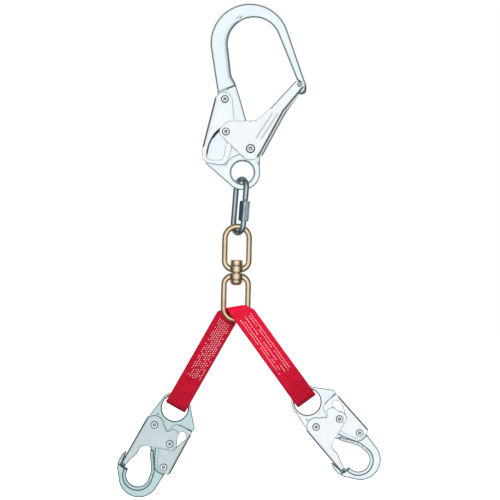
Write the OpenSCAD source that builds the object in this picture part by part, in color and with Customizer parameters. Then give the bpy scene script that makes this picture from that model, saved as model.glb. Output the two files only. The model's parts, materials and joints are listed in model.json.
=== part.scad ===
// Two-legged rebar positioning lanyard: a large rebar hook, a screw link, a swivel and a red web
// sling that carries two self-locking snap hooks.
// Millimetres. The hooks lie in the XZ plane, +Z points up the lanyard, and the origin is the
// centre of the large hook's bowl.

/* [Rebar hook] */
// Radius of the bowl that sits on the bar
bowl_r = 31.2; // [30:0.1:32]
// Thickness of the forged bow
bow_t = 12; // [10:0.5:12.6]
// Thickness of the forged frame under the lever
frame_t = 8; // [7:0.5:8]
// Sheet thickness of the gate and of the squeeze lever
sheet_t = 2; // [1.6:0.1:2]
// Radius of the hole for the screw link
link_eye_r = 13.2; // [13:0.1:13.6]

/* [Snap hooks] */
// Radius of the snap hook's bowl
snap_bowl_r = 13.4; // [13:0.1:13.6]
// Radius of the eye that holds the web
snap_eye_r = 15.6; // [15.2:0.1:15.8]
// Thickness of the forged frame
snap_frame_t = 6; // [5:0.5:6]
// Thickness of the forged bowl
snap_bow_t = 9.6; // [8:0.2:9.8]
// Sheet thickness of the snap hook's gate and lever
snap_sheet_t = 1.5; // [1.2:0.1:1.5]

/* [Link and swivel] */
// Rod diameter of the screw link and of the swivel
rod_d = 7; // [6.4:0.1:7]
// Overall length of the screw link
link_len = 71.7; // [71.5:0.1:71.8]
// Overall width of the screw link
link_w = 28; // [27:0.5:28]
// Turn of the screw link about its own length
link_turn = 55; // [50:1:60]
// Overall width of each swivel eye
swivel_w = 36; // [35:0.5:37]

/* [Web sling] */
// Width of the webbing
web_w = 27; // [25:0.5:27]
// Thickness of one ply
ply_t = 2.4; // [2:0.1:2.5]
// Length of each leg, from the swivel to the end of its loop
leg_len = 125.2; // [122:0.1:125.2]
// Angle of the left leg from the vertical
left_leg_angle = 29.8; // [26:0.2:32]
// Angle of the right leg from the vertical
right_leg_angle = 36; // [33:0.2:38]
// Angle of the left snap hook from the vertical
left_snap_angle = 28.4; // [26:0.2:32]
// Angle of the right snap hook from the vertical
right_snap_angle = 41.6; // [36:0.2:43]

/* [Hidden] */
$fn = 48;

steel = [0.82, 0.85, 0.86];
rivet_steel = [0.66, 0.69, 0.71];
spring_steel = [0.45, 0.46, 0.48];
link_steel = [0.42, 0.47, 0.50];
gold_zinc = [0.72, 0.53, 0.27];
web_red = [0.80, 0.07, 0.14];

lap = 1;           // overlap that joins two solids of one piece
run_gap = 0.05;    // radial clearance of a turning pin
play = 0.4;        // side clearance between a sheet and the forging it straddles

// Rebar hook, as [x, z] points.
bow_outer_r = 47.4;
bow_outer_c = [-4.8, 0.6];
inner_splay = 21.9;     // angle of the right leg's inner edge from the vertical
outer_splay = 19;       // angle of the right leg's outer edge from the vertical
gate_pivot = [-4.2, -126];
nose_pin = [54.6, -49.2];
lock_stud = [-33.6, -105.6];
lever_pivot = [-34.8, -66.6];
link_eye = [-13.8, -154.2];
eye_band_r = 21.2;
eye_chamfer = 2;
lever_in = frame_t / 2 + play;
lever_out = lever_in + sheet_t;
gate_in = bow_t / 2 + 0.7;
gate_out = gate_in + sheet_t;
pivot_r = 3;
stud_r = 2.4;
nose_pin_r = 2.2;
spring_wire = 1;
coil_space = 0.1;

// Screw link, in its own frame: origin on its length at its top end, hanging down.
rod_r = rod_d / 2;
link_bend_r = link_w / 2 - rod_r;
link_tilt = 4.6;
link_drop = 4.5;        // from the hole's centre down to the link's top
link_top = link_eye - link_drop * [sin(link_tilt), cos(link_tilt)];
nut_len = 24;
nut_r = 7;
nut_low = 18;
nut_engage = 2.6;
thread_gap = 8.4;

// Swivel, in its own frame: origin on its axis at its top end.
swivel_top = [-19.8, -215.4];
swivel_tilt = 1.3;
swivel_bend_r = swivel_w / 2 - rod_r;
foot_bend_r = 10;
lower_eye_len = 55.6;
boss_r = 8.4;
boss_t = 8.2;
boss_gap = 0.4;
pin_r = 4.5;
pin_head_r = 7.6;
pin_head_t = 7;
upper_boss_z = -54.8;
lower_boss_z = upper_boss_z - boss_t - boss_gap;

// Web sling: both legs fan out from one point under the swivel's lower eye.
web_fork = [-21, -334.8];
leg_y = rod_r + 0.5 + ply_t;
loop_gap = 4.8;         // half the room inside a leg's end loop
loop_len = 22;          // from the end of the loop to where its sides are parallel
loop_neck = 44;         // from the end of the loop to the sewn stretch
saddle_margin = 15;     // angle left free at each end of the saddle for a leg's swing
saddle_rise = 8.4;      // height of the saddle above the fork where it crosses the swivel's rod

// Snap hook, in its own frame: [x, z] points with the eye's centre at the origin, hanging down.
snap_band_r = 19.2;
snap_bowl_c = [-1, -92.4];
snap_back_r = 24.6;
snap_back_c = [1.5, -93.4];
snap_gate_pivot = [-12, -28.9];
snap_stud = [15.2, -40.3];
snap_lever_pivot = [21.8, -68.8];
snap_nose_reach = 62;   // from the gate's pivot to the top of the nose under the gate's tip
snap_lever_in = snap_frame_t / 2 + play;
snap_lever_out = snap_lever_in + snap_sheet_t;
snap_gate_in = snap_lever_out + 0.3;
snap_gate_out = snap_gate_in + snap_sheet_t;
snap_pivot_r = 2.4;

// ---------------------------------------------------------------- shared shapes

function unit(angle) = [cos(angle), sin(angle)];

function arc_points(centre, r, start, stop, steps) =
    [for (i = [0 : steps]) centre + r * unit(start + (stop - start) * i / steps)];

module plate(t, y = 0)
    translate([0, y, 0]) rotate([90, 0, 0]) linear_extrude(t, center = true) children();

// The two side plates of a folded channel.
module side_plates(inner, outer)
    for (side = [-1, 1]) plate(outer - inner, side * (inner + outer) / 2) children();

module at(point) translate([point[0], 0, point[1]]) children();

module cross_pin(r, length, y = 0)
    translate([0, y, 0]) rotate([90, 0, 0]) cylinder(h = length, r = r, center = true);

module rivet(shank_r, half_len, head_r, head_t) {
    cross_pin(shank_r, 2 * half_len + head_t);
    for (side = [-1, 1]) cross_pin(head_r, head_t, side * (half_len + head_t / 2));
}

// Short studs through the two gate plates, with their heads outside.
module studs(r, from, to, head_r, head_t)
    for (side = [-1, 1]) {
        cross_pin(r, to - from + head_t / 2, side * (from + to + head_t / 2) / 2);
        cross_pin(head_r, head_t, side * (to + head_t / 2));
    }

// Two flat-wire coils round a pivot, joined at one side, each with a straight leg.
module torsion_spring(coil_r, y, leg_angles, leg_lens) {
    outer_r = coil_r + spring_wire / 2;
    inner_r = coil_r - spring_wire / 2;
    for (i = [0, 1]) translate([0, y + (i - 0.5) * (spring_wire + coil_space), 0]) {
        difference() {
            cross_pin(outer_r, spring_wire);
            cross_pin(inner_r, 2 * spring_wire);
        }
        rotate([0, -leg_angles[i], 0]) translate([leg_lens[i] / 2, 0, coil_r])
            cube([leg_lens[i], spring_wire * 0.9, spring_wire * 0.8], center = true);
    }
    rotate([0, -(leg_angles[0] + leg_angles[1]) / 2, 0]) translate([0, y, coil_r])
        cube([2, spring_wire, spring_wire * 0.7], center = true);
}

// Part of a ring of round rod in the XZ plane, from one angle through a sweep.
module rod_arc(bend_r, r, start, sweep)
    rotate([90, 0, 0]) rotate([0, 0, start])
        rotate_extrude(angle = sweep) translate([bend_r, 0]) circle(r);

// ---------------------------------------------------------------- rebar hook

module bow_outline() {
    inner_right = (bowl_r - 0.3) * unit(inner_splay);
    outer_right = bow_outer_c + (bow_outer_r - 0.3) * unit(outer_splay);
    notch_r = nose_pin_r + 0.5;
    difference() {
        union() {
            translate(bow_outer_c) circle(bow_outer_r, $fn = 96);
            polygon([[20, 5], [46, -50], [62.6, -50], [61.2, -45.6], outer_right]);
            translate([56.9, -54.6]) circle(6.3);
            polygon([[-25, -3.4], [-51, -6.2], [-43.6, -58.8], [-26.4, -51.6], [-20, -50]]);
        }
        circle(bowl_r, $fn = 96);
        polygon([inner_right, [51, -43.2], [51.5, -51], [-21.1, -51], [-22.8, -45.6],
                 [-27, -38.4], [-30.6, -3.4]]);
        translate(nose_pin) circle(notch_r);
        translate(nose_pin) rotate(142.6) translate([0, 0.1 - notch_r])
            square([10, 2 * notch_r - 0.2]);
    }
}

module frame_outline()
    union() {
        polygon([[-42, -44], [-43, -55], [-44.3, -66], [-42, -100], [-44.8, -106.8],
                 [-49.6, -114], [-53.4, -122.4], [-54.2, -131.8], [-57.5, -131.8],
                 [-58.6, -138], [-57.6, -144], [-27.1, -170.7], link_eye, gate_pivot,
                 [7.2, -126], [-4, -104], [-9, -92.4], [-16.8, -64.8], [-23.4, -45.6], [-30, -42]]);
        polygon([link_eye, gate_pivot, [7.2, -126], [7.2, -150]]);
        translate(link_eye) circle(eye_band_r);
        translate(gate_pivot) circle(11.4);
    }

module rebar_hook_body()
    color(steel) difference() {
        union() {
            plate(bow_t) bow_outline();
            plate(frame_t) frame_outline();
        }
        at(link_eye) cross_pin(link_eye_r, bow_t);
        for (side = [-1, 1])
            at(link_eye) translate([0, side * (frame_t / 2 - eye_chamfer), 0])
                rotate([-90 * side, 0, 0])
                    cylinder(h = eye_chamfer + lap, r1 = link_eye_r,
                             r2 = link_eye_r + eye_chamfer + lap);
        at(gate_pivot) cross_pin(pivot_r, bow_t);
        at(lever_pivot) cross_pin(pivot_r, bow_t);
        at(lever_pivot) translate([0, frame_t / 2, 0]) cross_pin(7, 5.4);
        at(lever_pivot) translate([2, frame_t / 2, -12]) cube([12, 5.4, 20], center = true);
    }

module rebar_gate_outline()
    difference() {
        union() {
            translate(gate_pivot) circle(13.5);
            translate(lock_stud) circle(7.8);
            polygon([[1.2, -92.4], [-32, -93], [-39, -97.5], [-41.4, -105.6], [-39.2, -111.2],
                     [-12.8, -136.4], gate_pivot, [7.6, -132.5], [35.4, -81.6], [61.2, -50.4],
                     [58.2, -46.2], [49.2, -45.6], [31.2, -64.8], [21.6, -75.6], [14.4, -81.6],
                     [7.2, -88.8]]);
        }
        translate(gate_pivot) circle(pivot_r + run_gap);
        translate(nose_pin) circle(nose_pin_r);
        translate(lock_stud) circle(stud_r);
    }

module rebar_gate()
    color(steel) {
        side_plates(gate_in, gate_out) rebar_gate_outline();
        plate(2 * gate_in + lap)
            polygon([[20.2, -77.2], [21.6, -75.6], [31.2, -64.8], [49.2, -45.6], [50.7, -47],
                     [32.7, -66.2], [23.2, -77]]);
    }

module rebar_gate_nose_pin()
    color(rivet_steel) at(nose_pin) rivet(nose_pin_r, gate_out, 3, 1);

module rebar_gate_pivot_rivet()
    color(rivet_steel) at(gate_pivot) rivet(pivot_r, gate_out + run_gap, 5.6, 1.6);

module rebar_lock_studs()
    color(rivet_steel) at(lock_stud) studs(stud_r, frame_t / 2 + 0.3, gate_out, 4.8, 1.4);

module rebar_lever_outline()
    difference() {
        union() {
            translate(lever_pivot) circle(9);
            polygon([[-46.8, -64.8], [-44.4, -62.2], [-38, -58.4], [-31, -58.5], [-26.2, -64],
                     [-23.4, -93.6], [-26.4, -123.6], [-28.8, -133.2], [-31.2, -139.2],
                     [-34.8, -144], [-40.8, -145.2], [-57.6, -142.2], [-61.2, -136.8],
                     [-62.4, -127.2], [-61.8, -123.6]]);
        }
        translate(lever_pivot) circle(pivot_r + run_gap);
        polygon([[-40.8, -101.4], [-46.8, -106.8], [-51.6, -114], [-55.2, -122.4],
                 [-56.4, -128.4], [-57, -136.8], [-50, -138], [-38, -131], [-36.4, -122],
                 [-30.4, -109], [-30.4, -102.4], [-35, -100.8]]);
    }

module rebar_lever()
    color(steel) {
        side_plates(lever_in, lever_out) rebar_lever_outline();
        plate(2 * lever_in + lap)
            polygon([[-46.8, -64.8], [-61.8, -123.6], [-59.8, -124.1], [-44.9, -65.4]]);
    }

module rebar_lever_rivet()
    color(rivet_steel) at(lever_pivot) rivet(pivot_r, lever_out + run_gap, 4.8, 1.4);

module rebar_gate_spring()
    color(spring_steel) at(gate_pivot)
        torsion_spring(4.6, (frame_t / 2 + gate_in) / 2, [150, 61], [9, 18]);

module rebar_lever_spring()
    color(spring_steel) at(lever_pivot)
        torsion_spring(4.8, frame_t / 2 - 1.4, [-80, 0], [9, 1.5]);

// ---------------------------------------------------------------- screw link

module link_frame() at(link_top) rotate([0, link_tilt, 0]) rotate([0, 0, -link_turn]) children();

module quick_link()
    color(link_steel) link_frame() {
        high_z = -link_bend_r - rod_r;
        low_z = -link_len + link_bend_r + rod_r;
        stub_z = -link_len + nut_low + nut_engage;
        thread_z = stub_z + thread_gap;
        translate([0, 0, high_z]) rod_arc(link_bend_r, rod_r, 0, 180);
        translate([0, 0, low_z]) rod_arc(link_bend_r, rod_r, 180, 180);
        translate([-link_bend_r, 0, low_z]) cylinder(h = high_z - low_z, r = rod_r);
        translate([link_bend_r, 0, low_z]) cylinder(h = stub_z - low_z, r = rod_r);
        translate([link_bend_r, 0, thread_z]) cylinder(h = high_z - thread_z, r = rod_r);
    }

module link_nut()
    color(link_steel) link_frame()
        translate([link_bend_r, 0, -link_len + nut_low])
            difference() {
                rotate([0, 0, 15]) cylinder(h = nut_len, r = nut_r, $fn = 6);
                translate([0, 0, -lap]) cylinder(h = nut_len + 2 * lap, r = rod_r + run_gap);
            }

// ---------------------------------------------------------------- swivel

module swivel_frame() at(swivel_top) rotate([0, swivel_tilt, 0]) children();

// A closed rod loop whose foot runs into a bored boss. Its crown is at z = 0 and its foot below.
module swivel_eye(foot_z, bore_r)
    difference() {
        union() {
            crown_z = -swivel_bend_r - rod_r;
            bend_z = foot_z + foot_bend_r;
            foot_x = swivel_bend_r - foot_bend_r;
            translate([0, 0, crown_z]) rod_arc(swivel_bend_r, rod_r, 0, 180);
            for (side = [-1, 1]) {
                translate([side * swivel_bend_r, 0, bend_z])
                    cylinder(h = crown_z - bend_z, r = rod_r);
                translate([side * foot_x, 0, bend_z])
                    rod_arc(foot_bend_r, rod_r, side > 0 ? 270 : 180, 90);
                translate([0, 0, foot_z]) rotate([0, 90 * side, 0]) cylinder(h = foot_x, r = rod_r);
            }
            translate([0, 0, foot_z - boss_t / 2]) cylinder(h = boss_t, r = boss_r);
        }
        translate([0, 0, foot_z - boss_t]) cylinder(h = 2 * boss_t, r = bore_r);
    }

module swivel_upper_eye()
    color(gold_zinc) swivel_frame() swivel_eye(upper_boss_z, pin_r + run_gap);

module swivel_lower_eye()
    color(gold_zinc) swivel_frame()
        translate([0, 0, lower_boss_z - lower_eye_len]) rotate([180, 0, 0])
            swivel_eye(-lower_eye_len, pin_r);

module swivel_pin()
    color(gold_zinc) swivel_frame() {
        top = upper_boss_z + boss_t / 2 + 0.2;
        low = lower_boss_z - boss_t / 2;
        translate([0, 0, low - lap]) cylinder(h = top - low + 2 * lap, r = pin_r);
        translate([0, 0, top]) cylinder(h = pin_head_t, r = pin_head_r);
        translate([0, 0, low - pin_head_t]) cylinder(h = pin_head_t, r = pin_head_r);
    }

// ---------------------------------------------------------------- web sling

// One step of the saddle: inner and outer edge, behind and in front, at an angle about the fork.
function saddle_ring(angle, depth, rise) = [
    for (corner = [[rise, -1], [web_w, -1], [web_w, 1], [rise, 1]])
        [web_fork[0] + corner[0] * cos(angle), depth + corner[1] * ply_t,
         web_fork[1] + corner[0] * sin(angle)]
];

module web_saddle() {
    start = right_leg_angle + saddle_margin;
    stop = 180 - left_leg_angle - saddle_margin;
    steps = 12;
    rings = [
        for (i = [0 : steps])
            let (part = i / steps)
            saddle_ring(start + (stop - start) * part, -leg_y * cos(180 * part),
                        saddle_rise + 1.2 * sin(180 * part))
    ];
    points = [for (ring = rings) for (point = ring) point];
    walls = [
        for (i = [0 : steps - 1]) for (k = [0 : 3])
            let (a = 4 * i + k, b = 4 * i + (k + 1) % 4)
            [a, a + 4, b + 4, b]
    ];
    last = 4 * steps;
    color(web_red)
        polyhedron(points, concat([[0, 1, 2, 3]], walls,
                                  [[last + 3, last + 2, last + 1, last]]));
}

// Side view of a leg, from its end loop upward: two sewn plies that open round the snap's eye.
module leg_profile() {
    loop_out = loop_gap + ply_t;
    seam = loop_neck - 2;
    difference() {
        polygon(concat(arc_points([0, loop_out], loop_out, 180, 360, 14),
                       [[loop_out, loop_len], [ply_t, loop_neck], [ply_t, leg_len],
                        [-ply_t, leg_len], [-ply_t, loop_neck], [-loop_out, loop_len]]));
        polygon(concat(arc_points([0, loop_out], loop_gap, 180, 360, 14),
                       [[loop_gap, loop_len], [0.2, seam], [-0.2, seam], [-loop_gap, loop_len]]));
    }
}

// A leg hangs from the fork with one long edge on the fork; side is -1 for the left leg.
module web_leg(side, angle)
    color(web_red) at(web_fork) rotate([0, -side * angle, 0])
        translate([side * web_w / 2, side * -leg_y, -leg_len])
            rotate([0, 0, 90]) rotate([90, 0, 0])
                linear_extrude(web_w - 0.6, center = true) leg_profile();

module left_web_leg() web_leg(-1, left_leg_angle);
module right_web_leg() web_leg(1, right_leg_angle);

// ---------------------------------------------------------------- snap hook pieces

// Places a snap hook's pieces at the end of its leg; side is -1 for the left hook.
module snap_frame(side, leg_angle, snap_angle) {
    reach = leg_len + 0.6;
    centre = web_fork
        + side * web_w / 2 * [cos(leg_angle), side * sin(leg_angle)]
        + reach * [side * sin(leg_angle), -cos(leg_angle)];
    at(centre) translate([0, side * -leg_y, 0]) rotate([0, -side * snap_angle, 0]) children();
}

module left_snap_frame() snap_frame(-1, left_leg_angle, left_snap_angle) children();
module right_snap_frame() snap_frame(1, right_leg_angle, right_snap_angle) children();

module snap_frame_outline()
    difference() {
        union() {
            circle(snap_band_r);
            polygon([[-19.2, 0], [-22.4, -20], [-21.5, -35], [-14, -46], [-6, -54.5], [-2.6, -56.8],
                     [0, -63.4], [6.6, -73.5], [11.3, -80.5], [25, -80], [28, -76], [27.5, -64],
                     [21, -52], [11.5, -46], [11, -24], [13.5, -16], [32.6, -14.9], [33.2, -10.6],
                     [16.9, 9.1]]);
        }
        circle(snap_eye_r);
        translate(snap_gate_pivot) circle(snap_pivot_r);
        translate(snap_lever_pivot) circle(snap_pivot_r);
    }

// The bowl stops short of the gate's tip, and its nose rises outside the gate.
module snap_bowl_outline()
    difference() {
        union() {
            difference() {
                union() {
                    translate(snap_back_c) circle(snap_back_r, $fn = 72);
                    polygon([[10, -77], [27.2, -77], [26.1, -93.4], [10, -100]]);
                }
                translate(snap_gate_pivot) circle(snap_nose_reach, $fn = 144);
            }
            polygon([[-23, -94], [-24.6, -86], [-26.5, -70.8], [-29.6, -79], [-30, -88],
                     [-26.6, -96.4], [-20, -106], [-14, -104]]);
        }
        translate(snap_bowl_c) circle(snap_bowl_r, $fn = 72);
        polygon([[-14, -92.4], [-16, -80], [6, -68], [10.8, -77], [12, -92.4]]);
    }

module snap_body()
    color(steel) difference() {
        union() {
            plate(snap_frame_t) snap_frame_outline();
            plate(snap_bow_t) snap_bowl_outline();
            plate(snap_frame_t) difference() {
                polygon([[8, -72], [11.3, -84.7], [14, -98], [26, -95], [27.6, -76]]);
                translate(snap_bowl_c) circle(snap_bowl_r, $fn = 72);
            }
        }
        at(snap_lever_pivot) translate([0, snap_frame_t / 2, 0]) cross_pin(6, 5.2);
    }

module snap_gate_outline()
    difference() {
        union() {
            translate(snap_gate_pivot) circle(11);
            translate(snap_stud) circle(8.6);
            translate([12.4, -30.4]) circle(8);
            polygon([[-24.2, -23], [-21, -22], snap_gate_pivot, [5.8, -28.6], [12, -24],
                     snap_stud, [20.8, -46.6], [-3.7, -54.8], [-9.5, -56.4], [-14, -60.4],
                     [-13.9, -71], [-17.4, -79.7], [-18.8, -87], [-26.2, -85.4]]);
        }
        translate(snap_gate_pivot) circle(snap_pivot_r + run_gap);
        translate(snap_stud) circle(1.8);
    }

module snap_gate()
    color(steel) {
        side_plates(snap_gate_in, snap_gate_out) snap_gate_outline();
        plate(2 * snap_gate_in + lap)
            polygon([[-14, -61.4], [-13.9, -71], [-17.4, -79.7], [-18.8, -87],
                     [-20.2, -86.8], [-18.8, -80.2], [-15.4, -71.4], [-15.4, -61.4]]);
    }

module snap_gate_rivet()
    color(rivet_steel) at(snap_gate_pivot) rivet(snap_pivot_r, snap_gate_out + run_gap, 4.6, 1.3);

module snap_lock_studs()
    color(rivet_steel) at(snap_stud) studs(1.8, snap_frame_t / 2 + 0.3, snap_gate_out, 4.6, 1.3);

module snap_lever_outline()
    difference() {
        polygon([[12.4, -15.8], [22, -14.6], [32.6, -15.6], [33, -21], [32.9, -72], [30.8, -75.2],
                 [18.5, -75.3], [14.6, -72.4], [11.1, -64.4], [6.2, -52], [6.3, -27.3],
                 [7, -22], [9.1, -17.7]]);
        translate(snap_lever_pivot) circle(snap_pivot_r + run_gap);
        polygon([[20, -22.6], [22.6, -19.8], [28.1, -22.4], [29.3, -27.2], [24.1, -40.2],
                 [21.5, -44], [14, -44], [12.4, -41], [14.4, -27.4], [17.4, -25.6]]);
    }

module snap_lever()
    color(steel) {
        side_plates(snap_lever_in, snap_lever_out) snap_lever_outline();
        plate(2 * snap_lever_in + lap)
            polygon([[33, -17.4], [31.5, -17.4], [31.5, -74.4], [32.9, -72]]);
    }

module snap_lever_rivet()
    color(rivet_steel) at(snap_lever_pivot)
        rivet(snap_pivot_r, snap_lever_out + run_gap, 4.6, 1.3);

module snap_gate_spring()
    color(spring_steel) at(snap_gate_pivot)
        torsion_spring(3.9, (snap_frame_t / 2 + snap_gate_in) / 2, [60, 230], [6, 8]);

module snap_lever_spring()
    color(spring_steel) at(snap_lever_pivot)
        torsion_spring(3.9, snap_frame_t / 2 - 1.3, [0, 180], [1.5, 1.5]);

// ---------------------------------------------------------------- nodes

rebar_hook_body();
rebar_gate();
rebar_gate_nose_pin();
rebar_gate_pivot_rivet();
rebar_lock_studs();
rebar_lever();
rebar_lever_rivet();
rebar_gate_spring();
rebar_lever_spring();
quick_link();
link_nut();
swivel_upper_eye();
swivel_lower_eye();
swivel_pin();
web_saddle();
left_web_leg();
right_web_leg();
left_snap_frame() snap_body();  // left_snap_body
left_snap_frame() snap_gate();  // left_snap_gate
left_snap_frame() snap_gate_rivet();  // left_snap_gate_rivet
left_snap_frame() snap_lock_studs();  // left_snap_lock_studs
left_snap_frame() snap_lever();  // left_snap_lever
left_snap_frame() snap_lever_rivet();  // left_snap_lever_rivet
left_snap_frame() snap_gate_spring();  // left_snap_gate_spring
left_snap_frame() snap_lever_spring();  // left_snap_lever_spring
right_snap_frame() snap_body();  // right_snap_body
right_snap_frame() snap_gate();  // right_snap_gate
right_snap_frame() snap_gate_rivet();  // right_snap_gate_rivet
right_snap_frame() snap_lock_studs();  // right_snap_lock_studs
right_snap_frame() snap_lever();  // right_snap_lever
right_snap_frame() snap_lever_rivet();  // right_snap_lever_rivet
right_snap_frame() snap_gate_spring();  // right_snap_gate_spring
right_snap_frame() snap_lever_spring();  // right_snap_lever_spring
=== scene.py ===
"""A two-legged rebar positioning lanyard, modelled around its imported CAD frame.

Outlines are in millimetres in a piece's own plane, x to the right and z up, and the viewer looks along
+Y. A solid is a (points, faces) pair, also in millimetres, until make() turns it into an object in metres.
"""
import json
import math
import random

import bmesh
import bpy
import numpy as np
from mathutils import Matrix, Vector, geometry


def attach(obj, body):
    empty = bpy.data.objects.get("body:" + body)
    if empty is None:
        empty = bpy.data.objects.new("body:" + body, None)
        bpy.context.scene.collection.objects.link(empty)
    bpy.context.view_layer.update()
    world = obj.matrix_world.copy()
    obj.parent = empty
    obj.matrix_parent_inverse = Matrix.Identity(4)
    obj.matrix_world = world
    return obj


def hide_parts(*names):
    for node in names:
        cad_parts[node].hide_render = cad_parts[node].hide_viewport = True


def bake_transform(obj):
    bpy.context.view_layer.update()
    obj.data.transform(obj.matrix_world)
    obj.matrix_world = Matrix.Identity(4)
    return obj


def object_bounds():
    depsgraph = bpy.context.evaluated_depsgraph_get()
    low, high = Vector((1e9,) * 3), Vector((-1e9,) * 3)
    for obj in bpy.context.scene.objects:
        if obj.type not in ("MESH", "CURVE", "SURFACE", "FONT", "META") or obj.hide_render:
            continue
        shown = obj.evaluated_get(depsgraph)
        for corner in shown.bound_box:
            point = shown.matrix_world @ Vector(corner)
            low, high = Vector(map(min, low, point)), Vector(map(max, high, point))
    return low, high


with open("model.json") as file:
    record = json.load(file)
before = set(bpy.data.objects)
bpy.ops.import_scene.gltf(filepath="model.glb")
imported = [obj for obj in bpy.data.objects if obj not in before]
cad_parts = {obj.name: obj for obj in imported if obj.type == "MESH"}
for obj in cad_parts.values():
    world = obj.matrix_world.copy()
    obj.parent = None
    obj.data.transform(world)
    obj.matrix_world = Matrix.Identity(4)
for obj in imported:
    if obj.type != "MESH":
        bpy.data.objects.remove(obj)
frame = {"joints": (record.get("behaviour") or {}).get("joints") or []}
cad_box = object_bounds()

MM = 0.001
CLEARANCE = 0.05
HERE = Matrix.Identity(4)
JOINTS = {joint["name"]: joint for joint in frame["joints"]}


def pivot(joint):
    """A joint's centre in millimetres, as the frame gives it."""
    return Vector(JOINTS[joint]["pos_m"]) / MM


def flat(point):
    """The x and z of a point."""
    return np.array([point[0], point[2]])


# Rebar hook
BOWL_R = 31.2
BOW_HALF = 6.0
FRAME_HALF = 4.0
BOW_OUTER_R = 47.4
BOW_OUTER_C = (-4.8, 0.6)
EYE_R = 13.2
EYE_BAND_R = 21.2
LINK_EYE = flat(pivot("link_swing"))
GATE_PIVOT = flat(pivot("rebar_gate_hinge"))
LEVER_PIVOT = flat(pivot("rebar_lever_hinge"))
NOSE_PIN = np.array([54.6, -49.2])
LOCK_STUD = np.array([-33.6, -105.6])
LEVER_PLATE = (4.4, 6.4)
GATE_PLATE = (6.7, 8.7)
PIVOT_R = 3.0
STUD_R = 2.4
NOSE_PIN_R = 2.2
STUD_START = FRAME_HALF + 0.3

# Rivet heads: their radius and their height
NOSE_PIN_HEAD = (3, 1.2)
STUD_HEAD = (4.8, 1.5)
GATE_HEAD = (5.6, 1.8)
LEVER_HEAD = (4.8, 1.6)

# Screw link and swivel
ROD_R = 3.5
LINK_TURN = -55
LINK_TILT = 4.6
LINK_DROP = 4.5
LINK_LEN = 71.7
LINK_BEND_R = 10.5
LINK_GAP = 8.4
THREAD_LEN = 15.5
THREAD_PITCH = 1.25
NUT_LEN = 24
NUT_LOW = 18
NUT_R = 7.0
SWIVEL_TOP = (-19.8, -215.4)
SWIVEL_TILT = 1.3
SWIVEL_BEND_R = 14.5
FOOT_BEND_R = 10
UPPER_BOSS_Z = -54.8
LOWER_BOSS_Z = -63.4
LOWER_EYE_LEN = 55.6
BOSS_R = 8.4
BOSS_HALF = 4.1
PIN_R = 4.5

# Stamped channels
PLATE_EDGE_R = 0.6
COINED_W = 2.1
LIP_W = 3.2

# Web sling
WEB_W = 27.0
PLY_T = 2.3
LEG_LEN = 125.2
LEG_Y = 6.4
LOOP_HALF = 6.0
LOOP_LEN = 22
LOOP_NECK = 44
FORK = flat(pivot("left_leg_swing"))
RIB_PITCH = 2.8
WEB_COLUMNS = 22
THREAD_R = 0.42

# Snap hooks: [x, z] with the eye's centre at the origin, hanging down
SNAP_EYE_R = 15.6
SNAP_BAND_R = 19.2
SNAP_FRAME_HALF = 3.0
SNAP_BOWL_HALF = 4.8
SNAP_BOWL_R = 13.4
SNAP_BOWL_C = (-1, -92.4)
SNAP_BACK_R = 24.6
SNAP_BACK_C = (1.5, -93.4)
SNAP_GATE_PIVOT = (-12, -28.9)
SNAP_STUD = (15.2, -40.3)
SNAP_LEVER_PIVOT = (21.8, -68.8)
SNAP_NOSE_REACH = 62
SNAP_RIDGE = 4.4
SNAP_NOSE_W = 3.0
SNAP_EYE_CHAMFER = 1.3
SNAP_LEVER_PLATE = (3.4, 4.9)
SNAP_GATE_PLATE = (5.2, 6.7)
SNAP_PIVOT_R = 2.4
SNAP_STUD_R = 1.8
SNAP_HEAD = (4.6, 1.3)
SNAP_COIL_R = 3.9


# ---- outlines

def unit(degrees):
    angle = math.radians(degrees)
    return np.array([math.cos(angle), math.sin(angle)])


def arc(centre, r, start, stop, step=6):
    count = max(2, math.ceil(abs(stop - start) / step))
    turns = [start + (stop - start) * i / count for i in range(count + 1)]
    return [tuple(np.array(centre) + r * unit(turn)) for turn in turns]


def ring(centre, r, step):
    return arc(centre, r, 0, 360, step)[:-1]


def rounded(points):
    """An outline with a fillet at each point that has a third value, its radius."""
    made = []
    for i, point in enumerate(points):
        here = np.array(point[:2], float)
        r = point[2] if len(point) > 2 else 0
        before = np.array(points[i - 1][:2]) - here
        after = np.array(points[(i + 1) % len(points)][:2]) - here
        before_len, after_len = np.linalg.norm(before), np.linalg.norm(after)
        before, after = before / before_len, after / after_len
        half = math.acos(np.clip(before @ after, -1, 1)) / 2
        if r <= 0 or half > math.radians(87):
            made.append(tuple(here))
            continue
        cut = min(r / math.tan(half), 0.48 * before_len, 0.48 * after_len)
        middle = (before + after) / np.linalg.norm(before + after)
        centre = here + middle * cut / math.cos(half)
        start, stop = here + before * cut - centre, here + after * cut - centre
        sweep = math.pi - 2 * half
        steps = max(2, math.ceil(sweep / math.radians(12)))
        for k in range(steps + 1):
            part = k / steps
            spoke = math.sin((1 - part) * sweep) * start + math.sin(part * sweep) * stop
            made.append(tuple(centre + spoke / math.sin(sweep)))
    return made


def dense(line, step, closed=False):
    """The line with points added, so that none of its stretches is longer than step."""
    line = [np.array(point[:2], float) for point in line]
    ends = line[1:] + line[:1] if closed else line[1:]
    made = []
    for a, b in zip(line, ends):
        count = max(1, math.ceil(np.linalg.norm(b - a) / step))
        made += [a + (b - a) * k / count for k in range(count)]
    if not closed:
        made.append(line[-1])
    return np.array(made)


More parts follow.
